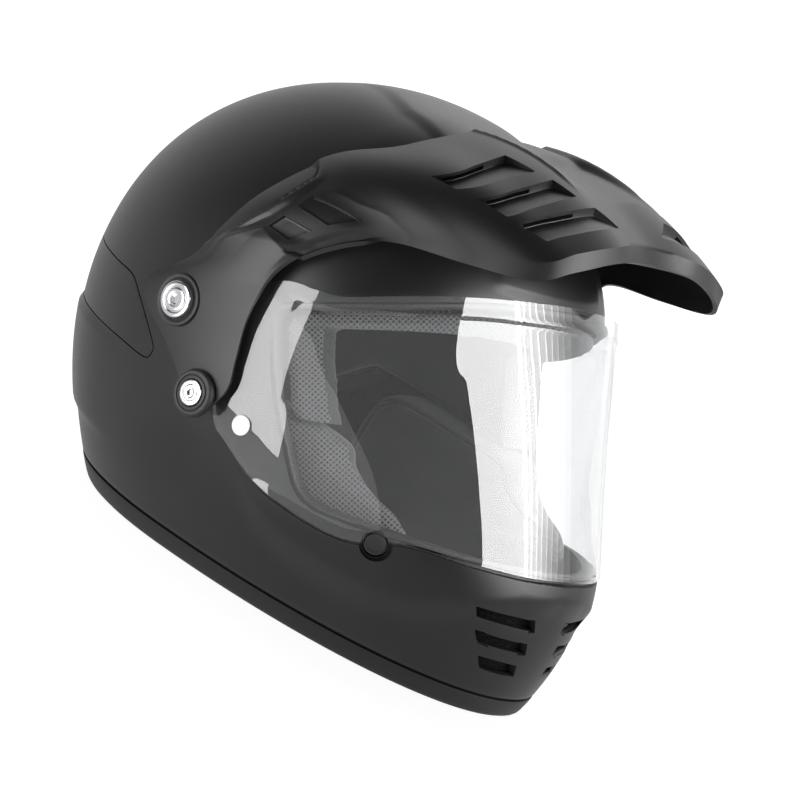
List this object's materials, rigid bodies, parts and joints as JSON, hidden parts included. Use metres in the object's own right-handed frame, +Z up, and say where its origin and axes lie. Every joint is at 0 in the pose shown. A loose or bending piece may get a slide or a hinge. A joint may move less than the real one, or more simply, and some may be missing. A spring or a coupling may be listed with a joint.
{
  "type": "full face helmet",
  "caption": "Full face helmet with a separate screwed-on peak, a clear hinged face shield, a padded lining and a chin strap.",
  "frame": {"origin": "middle of the footprint, on the plane that the lower edge rests on", "axes": "+Z up, -Y the way the face looks, +X the wearer's left"},
  "size_m": [0.2726, 0.3346, 0.265],
  "materials": {
    "shell_black": "matte painted fibreglass shell, peak and rear panel, fine soft sheen",
    "rubber": "soft black rubber",
    "wire_mesh": "black painted fine wire mesh",
    "foam": "dark expanded foam, hidden behind the lining",
    "mesh_fabric": "grey spacer mesh over foam",
    "webbing": "black woven strap",
    "clear_shield": "clear polycarbonate, polished",
    "pin_white": "white plastic pin",
    "steel": "bright polished steel",
    "moulded_plastic": "black moulded plastic"
  },
  "bodies": {
    "helmet": {"outer_shell": "shell_black", "neck_trim": "rubber", "rear_panel": "shell_black", "eyeport_seal": "rubber", "vent_mesh_right": "wire_mesh", "vent_mesh_left": "wire_mesh", "foam_liner": "foam", "chin_foam": "foam", "crown_liner": "mesh_fabric", "cheek_pad_right": "mesh_fabric", "cheek_pad_left": "mesh_fabric", "neck_roll": "mesh_fabric", "peak": "shell_black", "peak_washer_right": "rubber", "peak_washer_left": "rubber", "peak_screw_right": "steel", "peak_screw_left": "steel", "lower_grommet_right": "rubber", "lower_grommet_left": "rubber", "lower_screw_right": "steel", "lower_screw_left": "steel", "insert_nuts": "steel", "base_plate_right": "moulded_plastic", "base_plate_left": "moulded_plastic", "base_plate_screws": "steel", "lock_housing": "moulded_plastic", "lock_spring": "steel", "chin_strap_right": "webbing", "chin_strap_left": "webbing", "strap_anchors": "steel", "strap_rivets": "steel"},
    "shield": {"face_shield": "clear_shield", "hub_ring_right": "moulded_plastic", "hub_ring_left": "moulded_plastic", "lens_pin_right": "pin_white", "lens_pin_left": "pin_white"},
    "button": {"lock_button": "moulded_plastic"},
    "rings": {"d_ring_wide": "steel", "d_ring_narrow": "steel"}
  },
  "joints": [
    {"name": "shield_flip", "type": "hinge", "parent": "helmet", "child": "shield", "pos_m": [0, 0.02748, 0.121], "axis": [-1, 0, 0], "range_deg": [0, 35]},
    {"name": "lock_press", "type": "slide", "parent": "helmet", "child": "button", "axis": [0.8192, 0.5736, 0], "range_m": [0, 0.002], "stiffness_N_per_m": 400, "springref_m": -0.002, "deforming": ["lock_spring"]},
    {"name": "rings_swing", "type": "hinge", "parent": "helmet", "child": "rings", "pos_m": [0.036, 0.0025, 0.014], "axis": [0, 1, 0], "range_deg": [-30, 60]}
  ]
}
